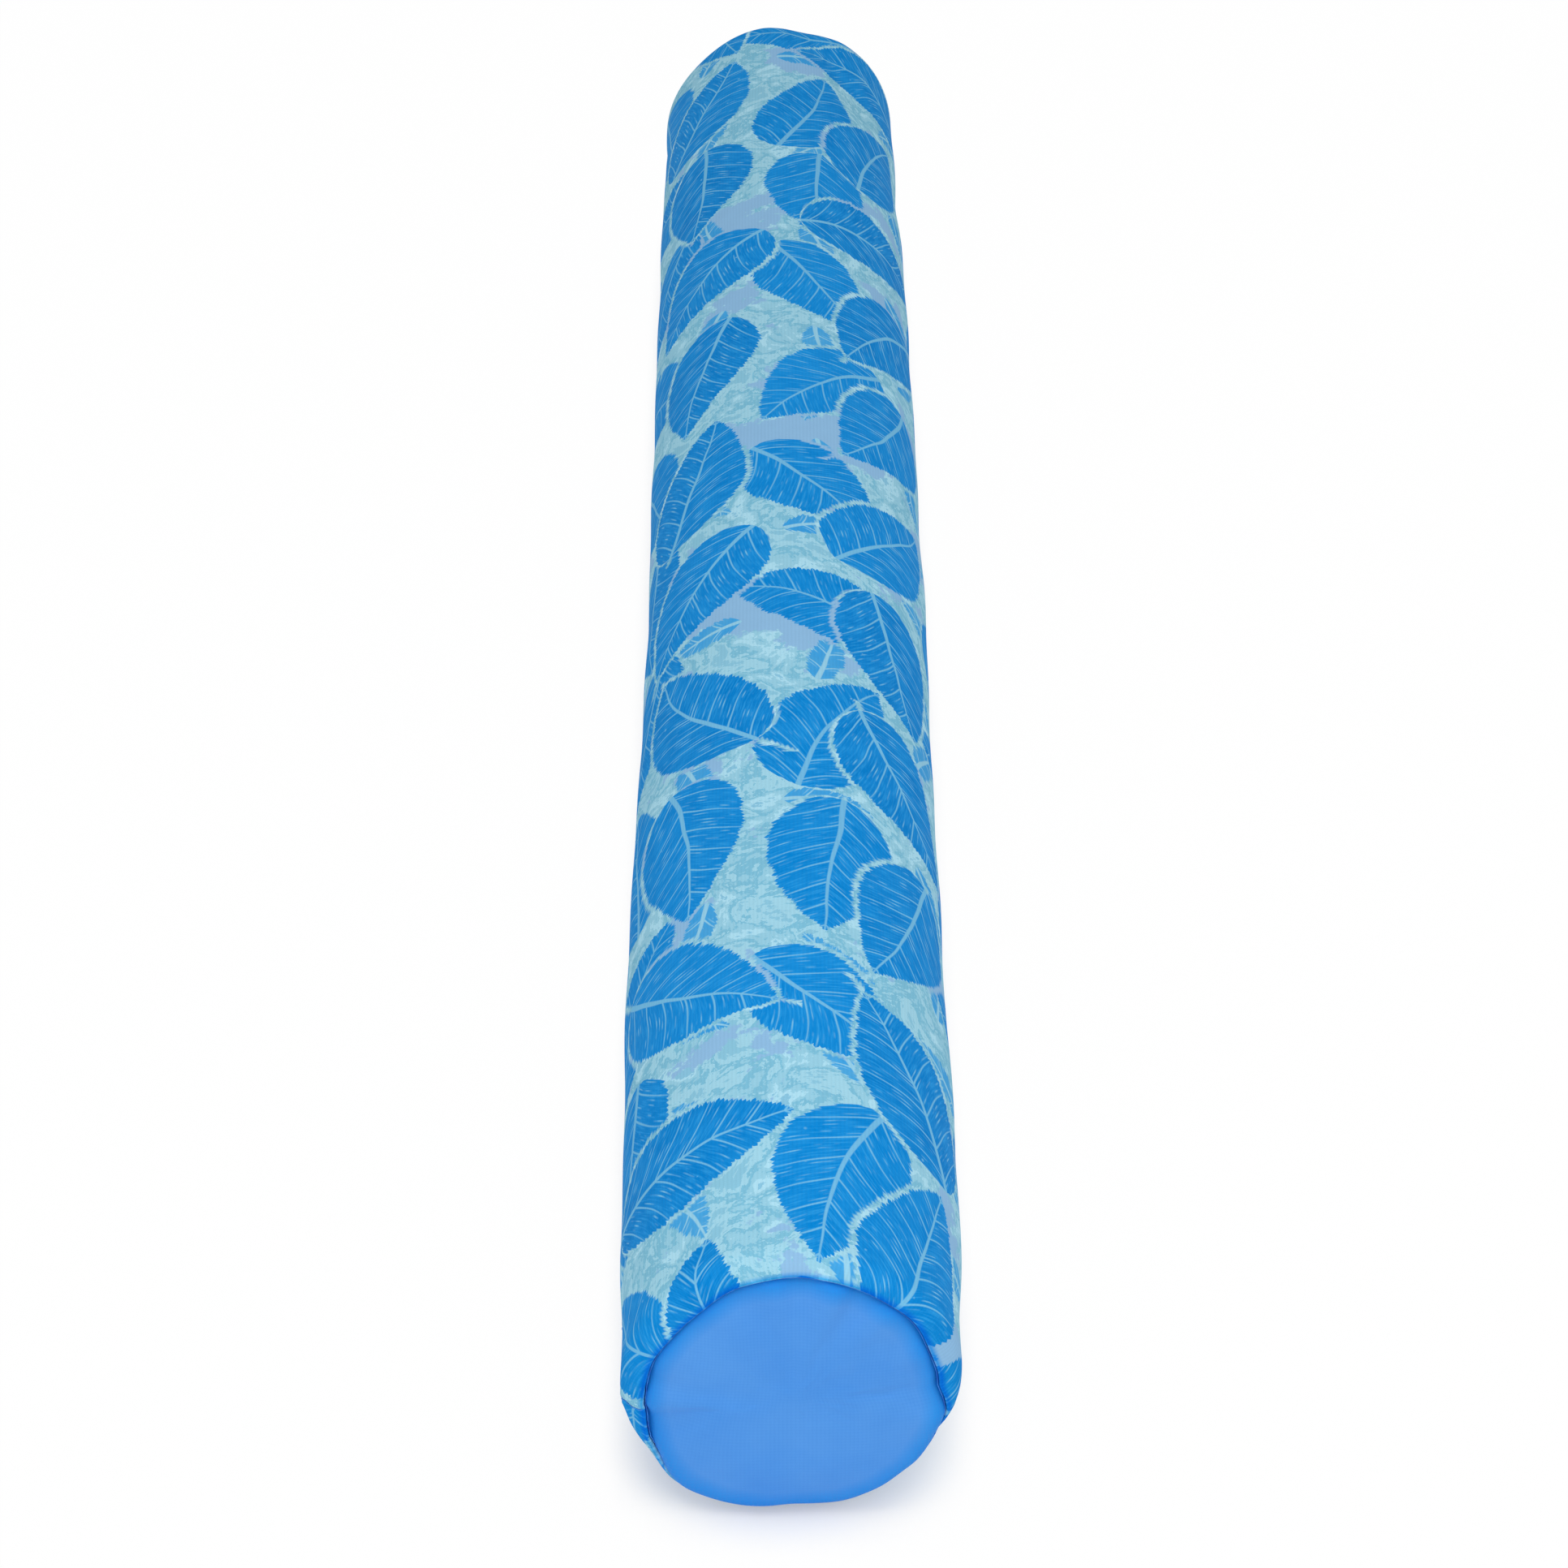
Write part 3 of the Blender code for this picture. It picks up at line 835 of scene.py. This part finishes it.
def floor_finish():
    """White seamless paper: pure white to the camera, with a soft shadow where the noodle touches it."""
    finish = Finish("white_paper")
    add = finish.add
    rays = add("LightPath")
    seen = add("Math", rays.outputs["Is Camera Ray"], rays.outputs["Is Glossy Ray"], operation="MAXIMUM")

    # Half open it is mostly matt paper in shadow, three quarters open nearly all white
    opened = add("AmbientOcclusion", named={"Distance": 0.045}, samples=12)
    opened = add("MapRange", opened.outputs["AO"], 0.5, 0.75, 0.3, 0.985)
    share = add("Math", seen, opened, operation="MULTIPLY")

    matt = add("BsdfDiffuse", "#F7F7F7")
    glow = add("Emission", "#FFFFFF", 1.0)
    add("OutputMaterial", add("MixShader", share, matt, glow))
    return finish.material


# Camera, lights and floor


def aim(thing, target):
    thing.rotation_euler = (Vector(target) - thing.location).to_track_quat("-Z", "Y").to_euler()


def photograph_camera():
    data = bpy.data.cameras.new("photograph_camera")
    data.lens = 94.66
    data.sensor_width = 36
    made = bpy.data.objects.new("photograph_camera", data)
    made.location = (-0.0083, -1.7452, 1.2215)
    made.rotation_euler = (math.radians(90 - 35.732), 0, math.radians(-0.26))
    bpy.context.scene.collection.objects.link(made)
    bpy.context.scene.camera = made


def softbox(name, place, target, size, power):
    data = bpy.data.lights.new(name, "AREA")
    data.shape = "SQUARE"
    data.size = size
    data.energy = power
    made = bpy.data.objects.new(name, data)
    made.location = place
    aim(made, target)
    bpy.context.scene.collection.objects.link(made)


def studio():
    bpy.context.scene.view_settings.view_transform = "Standard"
    softbox("overhead_softbox", (0.3, -0.85, 1.5), (0, -0.4, 0), 1.4, 9.9)
    softbox("front_softbox", (-0.9, -2.2, 1.1), (0, -0.5, 0.05), 1.2, 8)

    # The room is white to the camera, and lights the noodle with 0.64 of that
    world = bpy.data.worlds.new("white_room")
    bpy.context.scene.world = world
    world.use_nodes = True
    tree = world.node_tree
    tree.nodes.clear()
    rays = tree.nodes.new("ShaderNodeLightPath")
    strength = tree.nodes.new("ShaderNodeMapRange")
    strength.inputs["To Min"].default_value = 0.64
    strength.inputs["To Max"].default_value = 1
    background = tree.nodes.new("ShaderNodeBackground")
    background.inputs["Color"].default_value = linear("#FFFFFF")
    output = tree.nodes.new("ShaderNodeOutputWorld")
    tree.links.new(rays.outputs["Is Camera Ray"], strength.inputs["Value"])
    tree.links.new(strength.outputs["Result"], background.inputs["Strength"])
    tree.links.new(background.outputs["Background"], output.inputs["Surface"])

    # The paper lies just under the noodle's flat underside
    square = np.array([(-6, -6, 0), (6, -6, 0), (6, 6, 0), (-6, 6, 0), (-6, -6, 0)])
    floor = grid_mesh("studio_floor", np.array([square, 0.01 * square]) - (0, 0, 0.0002), closed_tip=True)
    floor.data.materials.append(floor_finish())


# Putting it together

photograph_camera()
studio()
FRONT.pull, REAR.pull = settle(FRONT), settle(REAR)

sleeve, sleeve_shown = sleeve_cloth()
printed, plain, white_foam, sewing = printed_cloth(sleeve_shown), plain_cloth(), foam(), thread()
front_panel = panel_cloth("front_panel_cloth", FRONT)
rear_panel = panel_cloth("rear_panel_cloth", REAR)
bar = foam_bar()

for piece, node, finish, slot in (
    (sleeve, "cover_sleeve", printed, "printed_cloth"),
    (front_panel, "front_end_panel", plain, "plain_cloth"),
    (rear_panel, "rear_end_panel", plain, "plain_cloth"),
    (bar, "foam_core", white_foam, "foam"),
    (end_thread("front_end_stitches", FRONT), "front_end_seam_thread", sewing, "thread"),
    (end_thread("rear_end_stitches", REAR), "rear_end_seam_thread", sewing, "thread"),
    (lengthwise_thread(), "lengthwise_seam_thread", sewing, "thread"),
):
    piece.data.materials.append(finish)
    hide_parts(node)
    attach(piece, "root")
